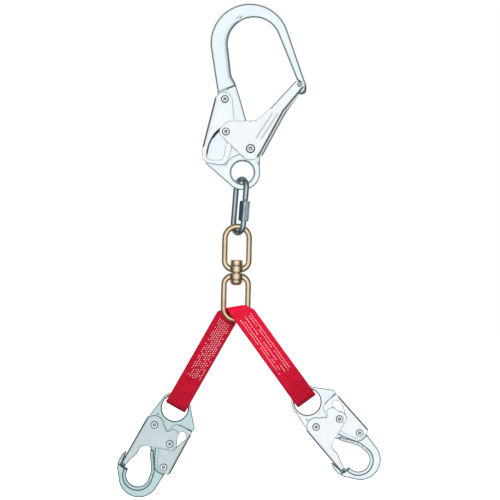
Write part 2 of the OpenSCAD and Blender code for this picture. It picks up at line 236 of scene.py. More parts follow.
def distance(points, line, closed=False):
    """Each point's distance from the nearest stretch of a line."""
    line = np.array([point[:2] for point in line], float)
    ends = np.roll(line, -1, axis=0)
    count = len(line) if closed else len(line) - 1
    nearest = np.full(len(points), np.inf)
    for a, b in zip(line[:count], ends[:count]):
        along = b - a
        part = np.clip((points - a) @ along / max(along @ along, 1e-9), 0, 1)
        gap = points - a - part[:, None] * along
        nearest = np.minimum(nearest, (gap ** 2).sum(1))
    return np.sqrt(nearest)


def inside(points, loops):
    """Which points are inside an odd number of the loops."""
    x, z = points.T
    held = np.zeros(len(points), bool)
    for loop in loops:
        loop = np.array([point[:2] for point in loop], float)
        for a, b in zip(loop, np.roll(loop, -1, axis=0)):
            if a[1] != b[1]:
                crosses = (a[1] > z) != (b[1] > z)
                held ^= crosses & (x < a[0] + (z - a[1]) * (b[0] - a[0]) / (b[1] - a[1]))
    return held


def signed(points, loop):
    """Distance from a loop, positive inside it."""
    depth = distance(points, loop, closed=True)
    return np.where(inside(points, [loop]), depth, -depth)


def normed(rows):
    return rows / np.maximum(np.linalg.norm(rows, axis=1), 1e-9)[:, None]


def travelled(path):
    """How far along a path each of its points is."""
    return np.concatenate([[0], np.cumsum(np.linalg.norm(np.diff(path, axis=0), axis=1))])


def smooth(value, low, high):
    part = np.clip((value - low) / (high - low), 0, 1)
    return part * part * (3 - 2 * part)


def chamfer(gap, width):
    """A 45 degree chamfer's depth: width where the gap is 0, falling to 0 where the gap is width."""
    return np.clip(width - gap, 0, width)


def edge(depth, r):
    """How much a rounded edge of radius r takes off at a depth inside it."""
    reach = np.clip(r - depth, 0, r)
    return r - np.sqrt(np.maximum(r * r - reach * reach, 0))


# ---- solids

def from_edges(points, edges):
    """Each point's distance from the nearest of an outline's loops."""
    return np.min([distance(points, loop, closed=True) for loop in edges], axis=0)


def beside(line, offset, closed):
    """The line moved sideways by offset."""
    if closed:
        tangent = np.roll(line, -1, axis=0) - np.roll(line, 1, axis=0)
    else:
        tangent = np.gradient(line, axis=0)
    tangent = normed(tangent)
    return line + offset * np.stack([-tangent[:, 1], tangent[:, 0]], axis=1)


def triangles(loops, step, edge_r, spread, creases):
    """Points and triangles over an outline with holes, in rows along its edges and its creases."""
    edges = [dense(loop, step, closed=True) for loop in loops]
    rows = []
    for turn in (15, 32, 50, 70, 90):
        depth = edge_r * (1 - math.cos(math.radians(turn)))
        for line in edges:
            for side in (-1, 1):
                row = beside(line, side * depth, True)
                row = row[inside(row, edges)]
                rows.append(row[from_edges(row, edges) > 0.93 * depth])
    fixed = np.vstack(edges)
    for line, closed, offsets in creases:
        line = dense(line, step, closed)
        for offset in offsets:
            row = beside(line, offset, closed)
            rows.append(row[inside(row, edges) & (from_edges(row, edges) > 0.3 * step)])
    low, high = fixed.min(0), fixed.max(0)
    columns = np.arange(low[0], high[0], spread)
    lines = np.arange(low[1], high[1], spread * 0.87)
    grid = np.array([(x + (k % 2) * spread / 2, z) for k, z in enumerate(lines) for x in columns])
    clear = from_edges(grid, edges)
    for line, closed, offsets in creases:
        clear = np.minimum(clear, distance(grid, line, closed) - max(offsets) + edge_r)
    rows.append(grid[inside(grid, edges) & (clear > edge_r + 0.4 * spread)])
    free = np.vstack([row for row in rows if len(row)])
    cell = 0.3 * step
    kept = np.unique(np.round(free / cell), axis=0, return_index=True)[1]
    points = np.vstack([fixed, free[np.sort(kept)]])
    links, first = [], 0
    for line in edges:
        count = len(line)
        links += [(first + i, first + (i + 1) % count) for i in range(count)]
        first += count
    made = geometry.delaunay_2d_cdt([Vector(point) for point in points], links, [], 0, 1e-4)
    points = np.array([tuple(point) for point in made[0]])
    faces = np.array([face for face in made[2] if len(face) == 3])
    faces = faces[inside(points[faces].mean(1), edges)]
    return points, faces, edges


def slab(loops, front, back, step, edge_r, spread, creases=()):
    """A solid between two surfaces over an outline with holes. front and back give y from the points
    and their depth inside the nearest edge; the viewer's side has the lower y."""
    points, faces, edges = triangles(loops, step, edge_r, spread, creases)
    depth = from_edges(points, edges)
    near = np.column_stack([points[:, 0], front(points, depth), points[:, 1]])
    far = np.column_stack([points[:, 0], back(points, depth), points[:, 1]])
    count = len(points)
    directed = {(int(f[i]), int(f[(i + 1) % 3])) for f in faces for i in range(3)}
    walls = [(b, a, a + count, b + count) for a, b in sorted(directed) if (b, a) not in directed]
    near_faces = [tuple(map(int, face)) for face in faces]
    far_faces = [tuple(int(i) + count for i in face[::-1]) for face in faces]
    return np.vstack([near, far]), near_faces + far_faces + walls


def side_plate(loops, plate, side, folds=(), coined=(), lips=(), pressed=()):
    """One side of a folded channel. It rounds over at its folds, its lips slope off inside, its coined
    edges are chamfered, its pressed lines are grooves and its other edges are broken."""
    inner, outer = plate
    sheet_t = outer - inner

    def outside(points, depth):
        loss = edge(depth, PLATE_EDGE_R)
        for fold in folds:
            loss = np.maximum(loss, edge(distance(points, fold), sheet_t))
        for line in coined:
            loss = np.maximum(loss, 0.85 * chamfer(distance(points, line), COINED_W))
        for line in pressed:
            loss = loss + 0.4 * (1 - smooth(distance(points, line), 0.1, 1.2))
        return side * (outer - np.minimum(loss, sheet_t - 0.02))

    def within(points, depth):
        loss = np.zeros(len(points))
        for lip in lips:
            loss = np.maximum(loss, 0.5 * chamfer(distance(points, lip), LIP_W))
        return side * (inner + loss)

    front, back = (outside, within) if side < 0 else (within, outside)
    rows = (0.1, 0.4, 0.8, 1.3, sheet_t)
    both = tuple(-row for row in rows) + rows
    creases = [(line, False, both) for line in (*folds, *lips)]
    creases += [(line, False, (-1.2, -0.6, 0, 0.6, 1.2)) for line in pressed]
    rows = (0.05, 0.8, COINED_W - 0.15, COINED_W + 0.15)
    both = tuple(-row for row in rows) + rows
    creases += [(line, False, both) for line in coined]
    return slab(loops, front, back, step=1.0, edge_r=PLATE_EDGE_R, spread=5, creases=creases)


def spine(line, plate):
    """The folded edge that joins a channel's two plates; line runs along its outside."""
    inner, outer = plate
    line = dense(line, 2)
    inset = beside(line, outer - inner, False)
    strip = [tuple(p) for p in line] + [tuple(p) for p in inset[::-1]]
    return slab([strip], lambda p, d: np.full(len(p), -inner), lambda p, d: np.full(len(p), inner),
                step=2, edge_r=0.2, spread=9)


def channel(outline, holes, plate, spine_line, **edges):
    """A folded channel: its near and far plates and the spine that joins them."""
    plates = [side_plate([outline] + holes, plate, side, **edges) for side in (-1, 1)]
    return plates + [spine(spine_line, plate)]


def circle(r, z, sides):
    return [(*(r * unit(360 * k / sides)), z) for k in range(sides)]


def turned(profile, sides=36, closed=False):
    """A solid of revolution about Z from (radius, height) points that run upward outside."""
    points, rings, faces = [], [], []
    for r, z in profile:
        if r < 1e-6:
            rings.append([len(points)] * sides)
            points.append((0, 0, z))
            continue
        rings.append(list(range(len(points), len(points) + sides)))
        points += circle(r, z, sides)
    pairs = list(zip(rings, rings[1:])) + ([(rings[-1], rings[0])] if closed else [])
    for low, high in pairs:
        for k in range(sides):
            after = (k + 1) % sides
            corners = [low[k], low[after], high[after], high[k]]
            face = [c for i, c in enumerate(corners) if c != corners[i - 1]]
            if len(face) > 2:
                faces.append(tuple(face))
    return np.array(points, float), faces


def tube(rows, sides, closed=False):
    """Faces between rows of points, each row a ring with the same number of points."""
    faces = []
    for i in range(rows if closed else rows - 1):
        low, high = i * sides, (i + 1) % rows * sides
        for k in range(sides):
            after = (k + 1) % sides
            faces.append((low + k, low + after, high + after, high + k))
    return faces


def rod(path, radius, sides):
    """A round bar along a path; radius is one number, or one for each point of the path."""
    path = np.array(path, float)
    radii = np.broadcast_to(radius, len(path))
    tangent = normed(np.gradient(path, axis=0))
    across = np.cross(tangent[0], (0.3, 0.9, 0.2))
    points = []
    for centre, along, r in zip(path, tangent, radii):
        across = across - along * (across @ along)
        across /= np.linalg.norm(across)
        up = np.cross(along, across)
        for k in range(sides):
            spoke = unit(360 * k / sides)
            points.append(centre + r * (spoke[0] * across + spoke[1] * up))
    count = len(path)
    faces = tube(count, sides)
    faces.append(tuple(range(sides))[::-1])
    faces.append(tuple(range((count - 1) * sides, count * sides)))
    return np.array(points), faces


def placed(solid, matrix):
    points, faces = solid
    matrix = np.array(matrix)
    return points @ matrix[:3, :3].T + matrix[:3, 3], faces


def make(name, solids, material, place=HERE, sharp=32, groove_shade=None):
    """One object in metres from solids in millimetres. Its optional value for each point tells its
    material how much painted shade to lay there."""
    points, faces, first = [], [], 0
    for solid_points, solid_faces in solids:
        points.append(placed((solid_points, []), place)[0] * MM)
        faces += [tuple(first + i for i in face) for face in solid_faces]
        first += len(solid_points)
    mesh = bpy.data.meshes.new(name)
    mesh.from_pydata(np.vstack(points).tolist(), [], faces)
    if groove_shade:
        mesh.attributes.new("groove_shade", "FLOAT", "POINT").data.foreach_set("value", groove_shade)
    shape = bmesh.new()
    shape.from_mesh(mesh)
    bmesh.ops.remove_doubles(shape, verts=shape.verts, dist=2e-7)
    bmesh.ops.dissolve_degenerate(shape, edges=shape.edges, dist=1e-8)
    bmesh.ops.recalc_face_normals(shape, faces=shape.faces)
    shape.to_mesh(mesh)
    shape.free()
    mesh.shade_smooth()
    mesh.set_sharp_from_angle(angle=math.radians(sharp))
    mesh.materials.append(material)
    made = bpy.data.objects.new(name, mesh)
    bpy.context.scene.collection.objects.link(made)
    return made


def add(name, solids, material, body, node, place=HERE):
    """A piece that rides a body in place of its CAD node."""
    piece = make(name, solids, material, place)
    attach(piece, body)
    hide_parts(node)


# ---- materials

def new_material(name):
    material = bpy.data.materials.new(name)
    material.use_nodes = True
    nodes = material.node_tree.nodes
    return material, nodes, material.node_tree.links, nodes["Principled BSDF"]


def noise_node(nodes, links, scale, detail, stretch=(1, 1, 1)):
    """Noise in the object's own coordinates."""
    place = nodes.new("ShaderNodeTexCoord")
    mapping = nodes.new("ShaderNodeMapping")
    mapping.inputs["Scale"].default_value = stretch
    noise = nodes.new("ShaderNodeTexNoise")
    noise.inputs["Scale"].default_value = scale
    noise.inputs["Detail"].default_value = detail
    links.new(place.outputs["Object"], mapping.inputs["Vector"])
    links.new(mapping.outputs["Vector"], noise.inputs["Vector"])
    return noise


def ramp_node(nodes, links, source, low, high, places=(0.3, 0.7)):
    ramp = nodes.new("ShaderNodeValToRGB")
    ramp.color_ramp.elements[0].position = places[0]
    ramp.color_ramp.elements[1].position = places[1]
    ramp.color_ramp.elements[0].color = (*low, 1)
    ramp.color_ramp.elements[1].color = (*high, 1)
    links.new(source.outputs[0], ramp.inputs["Fac"])
    return ramp


def bump(nodes, links, source, shader, strength, depth):
    node = nodes.new("ShaderNodeBump")
    node.inputs["Strength"].default_value = strength
    node.inputs["Distance"].default_value = depth
    links.new(source.outputs[0], node.inputs["Height"])
    links.new(node.outputs["Normal"], shader.inputs["Normal"])


def metal(name, low, high, rough):
    """Plated metal: cloudy colour, uneven polish and a fine grain."""
    material, nodes, links, shader = new_material(name)
    colour = ramp_node(nodes, links, noise_node(nodes, links, 40, 2), low, high, (0.25, 0.75))
    links.new(colour.outputs["Color"], shader.inputs["Base Color"])
    polish = noise_node(nodes, links, 160, 4)
    gloss = ramp_node(nodes, links, polish, (rough[0],) * 3, (rough[1],) * 3)
    links.new(gloss.outputs["Color"], shader.inputs["Roughness"])
    bump(nodes, links, noise_node(nodes, links, 900, 3), shader, 0.05, 0.2 * MM)
    shader.inputs["Metallic"].default_value = 0.94
    return material


def webbing(name, low, high, groove_shade_colour):
    """Woven polyester: uneven dye, painted shade between its ribs, and a fine twill."""
    material, nodes, links, shader = new_material(name)
    colour = ramp_node(nodes, links, noise_node(nodes, links, 130, 4), low, high, (0.25, 0.75))
    # Painted shade: the colour is mixed towards a dark shade colour where the web lies deep between its
    # ribs.
    groove_shade = nodes.new("ShaderNodeAttribute")
    groove_shade.attribute_name = "groove_shade"
    shaded = nodes.new("ShaderNodeMix")
    shaded.data_type = "RGBA"
    links.new(groove_shade.outputs["Fac"], shaded.inputs[0])
    links.new(colour.outputs["Color"], shaded.inputs[6])
    shaded.inputs[7].default_value = (*groove_shade_colour, 1)
    links.new(shaded.outputs[2], shader.inputs["Base Color"])
    threads = noise_node(nodes, links, 1500, 2, (1, 0.4, 0.4))
    fuzz = ramp_node(nodes, links, threads, (0.55,) * 3, (0.85,) * 3)
    links.new(fuzz.outputs["Color"], shader.inputs["Roughness"])
    bump(nodes, links, threads, shader, 0.5, 0.3 * MM)
    shader.inputs["Specular IOR Level"].default_value = 0.25
    return material


ZINC = metal("bright_zinc", (0.75, 0.835, 0.86), (0.82, 0.88, 0.895), (0.18, 0.26))
STAMPED = metal("stamped_zinc", (0.82, 0.845, 0.87), (0.87, 0.885, 0.905), (0.20, 0.28))
# Darker copies of the two zincs, which paint the left snap hook in shade.
SHADED_ZINC = metal("shaded_zinc", (0.46, 0.62, 0.63), (0.55, 0.70, 0.71), (0.20, 0.30))
SHADED_STAMPED = metal("shaded_stamped_zinc", (0.53, 0.61, 0.63), (0.60, 0.68, 0.69), (0.22, 0.32))
RIVET = metal("rivet_steel", (0.66, 0.70, 0.72), (0.84, 0.87, 0.88), (0.10, 0.16))
SPRING = metal("spring_steel", (0.20, 0.21, 0.23), (0.30, 0.31, 0.33), (0.25, 0.40))
LINK = metal("link_steel", (0.36, 0.46, 0.49), (0.52, 0.62, 0.66), (0.12, 0.22))
GOLD = metal("yellow_zinc", (0.74, 0.50, 0.29), (0.96, 0.76, 0.55), (0.12, 0.20))
# Each webbing's last colour is the shade painted between the web's ribs.
WEB = webbing("red_webbing", (0.74, 0.002, 0.022), (0.95, 0.008, 0.055), (0.16, 0.0, 0.01))
THREAD = webbing("stitch_thread", (0.92, 0.55, 0.62), (1.0, 0.85, 0.88), (0.5, 0.2, 0.25))

# The record's slot that each metal stands for
SLOTS = {metal_made.name: "zinc_steel" for metal_made in (ZINC, STAMPED, SHADED_ZINC, SHADED_STAMPED)}
SLOTS |= {RIVET.name: "rivet_steel", SPRING.name: "spring_steel", LINK.name: "link_steel",
          GOLD.name: "gold_zinc"}


# ---- fasteners and springs

PUNCH_SLOPE = 0.8
COIL_TURNS = 2
WIRE_R = 0.5


def rotation(degrees, axis):
    return Matrix.Rotation(math.radians(degrees), 4, axis)


def at(point):
    return Matrix.Translation((point[0], 0, point[1]))


def peened(head_r, head_t, dimple):
    """Head profile from its rim inwards: a chamfered rim, a flat ring and a centre dished by the punch."""
    dish_r = 0.4 * head_r
    return [
        (head_r, 0),
        (head_r, 0.12 * head_t),
        (head_r - 0.85 * head_t, 0.97 * head_t),
        (head_r - head_t, head_t),
        (dish_r + 0.1, head_t),
        (dish_r, head_t - 0.06),
        (0.1 * dish_r, head_t - 0.9 * dimple * dish_r),
        (0, head_t - 0.9 * dimple * dish_r),
    ]


def rivet(point, shank_r, reach, head_r, head_t, dimple=PUNCH_SLOPE):
    """A rivet through a hook along Y, with a head on each side at the given reach."""
    head = peened(head_r, head_t, dimple)
    top = [(shank_r, reach)] + [(r, reach + h) for r, h in head]
    bottom = [(r, -z) for r, z in top[::-1]]
    return placed(placed(turned(bottom + top), rotation(-90, "X")), at(point))


def studs(point, shank_r, start, reach, head_r, head_t):
    """A pair of short studs, one through each plate, with their heads outside."""
    head = [(r, reach + h) for r, h in peened(head_r, head_t, PUNCH_SLOPE)]
    body = turned([(0, start), (shank_r, start), (shank_r, reach)] + head)
    return [placed(placed(body, rotation(degrees, "X")), at(point)) for degrees in (90, -90)]


def torsion_spring(centre, coil_r, y, legs):
    """Round wire wound about a pivot, its coil's middle at y. legs are (angle, length) pairs."""
    (low_angle, low_len), (high_angle, high_len) = legs
    sweep = high_angle - low_angle + 360 * (COIL_TURNS - 1)
    steps = max(24, int(abs(sweep) / 12))
    pitch = 2.1 * WIRE_R
    rise = pitch * abs(sweep) / 360
    coil = [
        (*(coil_r * unit(low_angle + sweep * k / steps)), y + rise * (k / steps - 0.5))
        for k in range(steps + 1)
    ]

    def leg(end, way, reaches):
        return [(end[0] + way[0] * t, end[1] + way[1] * t, end[2]) for t in reaches]

    lead = leg(coil[0], unit(low_angle - 90), (low_len, low_len / 2))
    tail = leg(coil[-1], unit(low_angle + sweep + 90), (high_len / 2, high_len))
    path = [(x + centre[0], depth, z + centre[1]) for x, z, depth in lead + coil + tail]
    return rod(path, WIRE_R, sides=10)


# ---- rebar hook

INNER_LEFT = arc((0, 0), BOWL_R, 119, 186.3) + [(-27, -38.4), (-22.8, -45.6)]
INNER_FRAME = [(-22.8, -45.6), (-16.8, -64.8), (-9, -92.4), (-4, -104)]
FACET_W = 6.2
STEP_AT = np.array([-43.6, -58.8])
STEP_SLOPE = unit(22.7)
HOLLOW_AT = (-18, 31.5)
POCKET_R = 7
POCKET_DEPTH = 2.7
POCKET_SLOT_HALF = 6
EYE_CHAMFER = 2
NOSE_TIP = (56.9, -54.6)
NOSE_TIP_R = 6.3
CRESCENT = [(-41.4, -99.6), (-48.0, -106.2), (-53.2, -113.4), (-56.9, -122), (-58.4, -131)]
CRESCENT_W = 4.0


def hook_outline():
    notch_r = NOSE_PIN_R + 0.4
    mouth = unit(142.6)
    across = unit(52.6)
    upper_lip = NOSE_PIN + across * notch_r + mouth * NOSE_TIP_R
    lower_lip = NOSE_PIN - across * notch_r + mouth * 2.2
    return rounded(
        arc(BOW_OUTER_C, BOW_OUTER_R, 19, 188.2, 3)
        + [(*STEP_AT, 5), (-44.3, -66), (-41.4, -99.6, 3)] + CRESCENT[1:]
        + [(-58.6, -138, 3), (-57.6, -144, 3)]
        + arc(LINK_EYE, EYE_BAND_R, 231.1, 371.2, 4)
        + [(7.2, -138)]
        + arc(GATE_PIVOT, 11.4, 0, 30)
        + [(-4, -104, 9), (-9, -92.4), (-16.8, -64.8), (-22.8, -45.6, 12), (-27, -38.4, 12)]
        + arc((0, 0), BOWL_R, 186.3, 21.9, 3)
        + [tuple(upper_lip)]
        + arc(NOSE_PIN, notch_r, 52.6, -127.4, 20)
        + [tuple(lower_lip)]
        + arc(NOSE_TIP, NOSE_TIP_R, 150, 350, 12)
        + [(62.9, -50, 3), (61.2, -45.6, 8)]
    )


def bow_share(points):
    """1 on the thick bow, 0 on the frame and between them on the slope of the step."""
    x, z = points.T
    above = (z - STEP_AT[1]) * STEP_SLOPE[0] - (x - STEP_AT[0]) * STEP_SLOPE[1]
    ramp_w = 1.1 + 1.9 * smooth(x, -28, -36)
    return np.where(x > -12, smooth(z, -60, -50), smooth(above / ramp_w, -1, 1))


def bow_facet(points):
    """Depth of the slope along the bow's inside, which fades out near the top."""
    x, z = points.T
    from_inner = distance(points, INNER_LEFT)
    facet = chamfer(from_inner, FACET_W) + 1.5 * np.exp(-((from_inner - 7.4) / 1.3) ** 2)
    start = smooth(x - 0.3 * z, -22, -27)
    return 0.25 * facet * bow_share(points) * np.where(z > 0, start, 1)


def hollow(points):
    """Depth of the small slanting hollow near the top of the bow."""
    right, up = (points - HOLLOW_AT).T
    along, across = (right * 0.75 + up * 0.45) / 3.4, (up * 0.75 - right * 0.45) / 1.5
    return 1.1 * np.exp(-along ** 2 - across ** 2)


def eye_recess(points):
    """Depth of the frame beside the eye's band and the gate's boss."""
    z = points[:, 1]
    from_eye = np.hypot(*(points - LINK_EYE).T)
    recess = smooth(from_eye, EYE_BAND_R, EYE_BAND_R + 0.9) * smooth(z, -112, -116)
    recess = recess * smooth(z, LINK_EYE[1] + 4, LINK_EYE[1] + 12)
    return 0.8 * recess * smooth(np.hypot(*(points - GATE_PIVOT).T), 12, 13)


def hook_half(points, depth):
    """Half thickness of the forging: the thick bow, the step down to the frame and its facets."""
    bow = bow_share(points)
    half = FRAME_HALF + (BOW_HALF - FRAME_HALF) * bow
    from_tip = np.hypot(*(points - NOSE_TIP).T)
    loss = edge(depth, 1.8 + 0.8 * bow + 2.4 * (1 - smooth(from_tip, 4, 9)))
    loss = loss + bow_facet(points)
    loss = loss + hollow(points)
    inner = chamfer(distance(points, INNER_FRAME), 4.5) * (1 - bow)
    loss = loss + 0.1 * inner * smooth(points[:, 1], -112, -100)
    loss = loss + eye_recess(points)
    eye_rim = chamfer(np.hypot(*(points - LINK_EYE).T) - EYE_R, EYE_CHAMFER)
    crescent = chamfer(distance(points, CRESCENT), CRESCENT_W)
    return np.maximum(half - np.maximum.reduce([loss, eye_rim, 0.9 * crescent]), 0.35)


def spring_pocket(points):
    """Depth of the pocket in the forging's back where the lever's spring sits."""
    x, z = points.T
    wide = POCKET_R - np.hypot(*(points - LEVER_PIVOT).T)
    slot = np.minimum(POCKET_SLOT_HALF - abs(x - LEVER_PIVOT[0] - 2), 10 - abs(z - LEVER_PIVOT[1] + 12))
    return POCKET_DEPTH * smooth(np.maximum(wide, slot), -0.15, 0.15)


def rebar_hook():
    outline = hook_outline()
    holes = [ring(LINK_EYE, EYE_R, 5), ring(GATE_PIVOT, PIVOT_R, 18), ring(LEVER_PIVOT, PIVOT_R, 18)]
    ridge = arc((0, 0), BOWL_R + FACET_W, 121, 186) + [(-33.1, -39.5), (-29, -47)]
    step_start = np.array((-45, -59.4))
    slot_x, slot_z = LEVER_PIVOT[0] + 2, LEVER_PIVOT[1] - 12
    left, right = slot_x - POCKET_SLOT_HALF, slot_x + POCKET_SLOT_HALF
    slot = [(left, slot_z + 5), (left, slot_z - 10), (right, slot_z - 10), (right, slot_z + 5)]
    creases = [
        (ridge, False, (-0.7, 0, 0.7, 1.4, 2.1, 2.8)),
        ([(-22, 29.1), (-14, 33.9)], False, (-2.4, -1.7, -1.1, -0.5, 0, 0.5, 1.1, 1.7, 2.4)),
        ([step_start, step_start + 30 * STEP_SLOPE], False, (-0.9, -0.4, 0.4, 0.9)),
        ([(x - 4.4, z - 1.2) for x, z in INNER_FRAME], False, (-0.5, 0, 0.5)),
        (arc(LINK_EYE, EYE_BAND_R + 0.45, 95, 200, 5), False, (-0.45, 0.45)),
        (arc(LINK_EYE, EYE_R + EYE_CHAMFER, 0, 360, 5), False, (-0.3, 0.3)),
        (CRESCENT, False, (CRESCENT_W - 0.3, CRESCENT_W + 0.3)),
        (ring(LEVER_PIVOT, POCKET_R, 12), True, (-0.2, 0.2)),
        (slot, False, (-0.2, 0.2)),
    ]
    body = slab([outline] + holes, lambda p, d: -hook_half(p, d),
                lambda p, d: np.maximum(hook_half(p, d) - spring_pocket(p), 0.4),
                step=1.2, edge_r=3.2, spread=3.2, creases=creases)
    add("hook_forging", [body], ZINC, "rebar_hook", "rebar_hook_body")


GATE_FOLD = [(20.2, -77.2), (31.2, -64.8), (49.2, -45.6)]
ARM_STRIP_W = 3.0


def arm_edge(out):
    """The arm's lower edge, moved out by the given width."""
    line = [(5.2, -135.4), (7.6, -132.5), (35.4, -81.6), (58.8, -53.4)]
    return [tuple(np.array(point) + out * unit(-28.5)) for point in line]


def gate_outline(back_strip):
    """The gate's plate; back_strip is how far its free edge stands out on the far side."""
    lower, upper = arm_edge(back_strip)[1:3]
    return rounded(
        [(1.2, -92.4, 7), (-32, -93, 6)]
        + arc(LOCK_STUD, 7.8, 125, 226)
        + arc(GATE_PIVOT, 13.5, 230.4, 326)
        + [(*lower, 3), (*upper, 60), (61.2, -50.4, 2), (58.2, -46.2, 2.5), (49.2, -45.6, 2.5),
           (31.2, -64.8, 40), (21.6, -75.6, 8), (14.4, -81.6, 8), (7.2, -88.8, 6)]
    )


GATE_LINES = ([(2.8, -112.9), (21.4, -84.4)], [(8.8, -114.0), (27.6, -85.0)])


def rebar_gate():
    holes = [ring(GATE_PIVOT, PIVOT_R, 18), ring(NOSE_PIN, NOSE_PIN_R, 30), ring(LOCK_STUD, STUD_R, 30)]
    plates = [
        side_plate([gate_outline(out)] + holes, GATE_PLATE, side, folds=(GATE_FOLD,),
                   coined=(arm_edge(out),), lips=lips, pressed=GATE_LINES)
        for side, out, lips in ((-1, 0, ()), (1, ARM_STRIP_W, (arm_edge(ARM_STRIP_W),)))
    ]
    fold = spine(GATE_FOLD[::-1], GATE_PLATE)
    add("gate_channel", plates + [fold], STAMPED, "rebar_gate", "rebar_gate")
    reach = GATE_PLATE[1]
    nose = rivet(NOSE_PIN, NOSE_PIN_R, reach, *NOSE_PIN_HEAD)
    add("gate_nose_pin", [nose], RIVET, "rebar_gate", "rebar_gate_nose_pin")
    locks = studs(LOCK_STUD, STUD_R, STUD_START, reach, *STUD_HEAD)
    add("gate_lock_studs", locks, RIVET, "rebar_gate", "rebar_lock_studs")
    hinge = rivet(GATE_PIVOT, PIVOT_R, reach + CLEARANCE, *GATE_HEAD, dimple=0.95)
    add("gate_pivot_rivet", [hinge], RIVET, "rebar_hook", "rebar_gate_pivot_rivet")
    coil = torsion_spring(GATE_PIVOT, 4.6, 5.35, ((150, 9), (331, 14)))
    add("gate_spring", [coil], SPRING, "rebar_hook", "rebar_gate_spring")


LEVER_FOLD = [(-61.6, -122.6), (-47.1, -66.2)]
LEVER_SPINE_END = (-58.0, -108.7)


def rebar_lever():
    outline = rounded(
        [(-46.8, -64.8, 3), (-44.4, -62.2, 2), (-38, -58.0, 5), (-30.6, -58.5, 5), (-26.0, -65, 6),
         (-23.4, -93.6, 60), (-26.4, -123.6, 20), (-28.8, -133.2, 10), (-31.2, -139.2, 8),
         (-35.4, -144.6, 6), (-41, -145.4, 10), (-58, -142.4, 6), (-61.6, -136.8, 6),
         (-62.6, -128.2, 4), (-62.0, -124.4, 4)]
    )
    window = rounded(
        [(-40.8, -101.4, 1.5), (-46.8, -106.8, 20), (-51.6, -114, 20), (-55.2, -122.4, 20),
         (-56.4, -128.4, 20), (-57, -137.4, 2.5), (-50, -139.4, 6), (-37.6, -139.4, 5),
         (-35.4, -131, 8), (-34.2, -122, 8), (-30.4, -109, 4), (-30.4, -102.4, 3), (-35, -100.8, 3)]
    )
    holes = [window, ring(LEVER_PIVOT, PIVOT_R, 18)]
    spine_line = [LEVER_FOLD[1], LEVER_SPINE_END]
    solids = channel(outline, holes, LEVER_PLATE, spine_line, coined=(LEVER_FOLD,))
    add("squeeze_lever", solids, STAMPED, "rebar_lever", "rebar_lever")
    hinge = rivet(LEVER_PIVOT, PIVOT_R, LEVER_PLATE[1] + CLEARANCE, *LEVER_HEAD)
    add("lever_pivot_rivet", [hinge], RIVET, "rebar_hook", "rebar_lever_rivet")
    coil = torsion_spring(LEVER_PIVOT, 4.8, 2.7, ((-80, 9), (95, 1)))
    add("lever_spring", [coil], SPRING, "rebar_hook", "rebar_lever_spring")


# ---- screw link and swivel

def link_place():
    tilt = math.radians(LINK_TILT)
    top = LINK_EYE - LINK_DROP * np.array([math.sin(tilt), math.cos(tilt)])
    return at(top) @ rotation(LINK_TILT, "Y") @ rotation(LINK_TURN, "Z")


def upright(points):
    """Flat [x, z] points as a path in the XZ plane."""
    return [(x, 0, z) for x, z in points]


def screw_link():
    high_z = -LINK_BEND_R - ROD_R
    low_z = -LINK_LEN + LINK_BEND_R + ROD_R
    stub_z = -LINK_LEN + NUT_LOW + 2.6
    thread_z = stub_z + LINK_GAP
    side = LINK_BEND_R
    crest_r, root_r = 3.42, 2.85
    path = (
        [(side, stub_z), (side, low_z + 1)]
        + arc((0, low_z), side, 0, -180, 8)
        + [(-side, low_z + 1 + k * (high_z - low_z - 2) / 5) for k in range(6)]
        + arc((0, high_z), side, 180, 0, 8)
        + [(side, high_z - 1), (side, thread_z + THREAD_LEN)]
    )
    bar = rod(upright(path), ROD_R, sides=28)
    count = int(THREAD_LEN / THREAD_PITCH)
    thread = [(0, 0), (2.7, 0), (3.0, 0.3)]
    for k in range(count):
        turn_z = k * THREAD_PITCH
        thread += [(crest_r, 0.45 + turn_z), (crest_r, 0.65 + turn_z), (root_r, 1.05 + turn_z),
                   (root_r, 1.2 + turn_z)]
    thread += [(ROD_R, count * THREAD_PITCH + 0.4), (ROD_R, THREAD_LEN + 1), (0, THREAD_LEN + 1)]
    threaded = placed(turned(thread, 28), at((side, thread_z)))
    place = link_place()
    add("link_rod", [bar, threaded], LINK, "screw_link", "quick_link", place)
    nut = placed(hex_nut(), at((side, -LINK_LEN + NUT_LOW)))
    add("link_hex_nut", [nut], LINK, "link_nut", "link_nut", place)


def hex_nut():
    """A long hexagonal nut with turned-down ends, bored for its thread."""
    flat_r = NUT_R * math.cos(math.radians(30))
    sides = 72
    levels = [(0, 5.9), (0.9, 6.5), (1.7, NUT_R), (NUT_LEN / 2, NUT_R), (NUT_LEN - 1.7, NUT_R),
              (NUT_LEN - 0.9, 6.5), (NUT_LEN, 5.9)]
    points = []
    for z, cap in levels:
        for k in range(sides):
            degrees = 360 * k / sides
            to_flat = (degrees - 15) % 60 - 30
            r = min(cap, flat_r / math.cos(math.radians(to_flat)) - 0.12 * (abs(to_flat) / 30) ** 8)
            points.append((*(r * unit(degrees)), z))
    bore_r = ROD_R + CLEARANCE
    for z, r in ((NUT_LEN, 4.6), (NUT_LEN - 1.0, bore_r), (1.0, bore_r), (0, 4.6)):
        points += circle(r, z, sides)
    return np.array(points, float), tube(len(levels) + 4, sides, closed=True)


def swivel_place():
    return at(SWIVEL_TOP) @ rotation(SWIVEL_TILT, "Y")


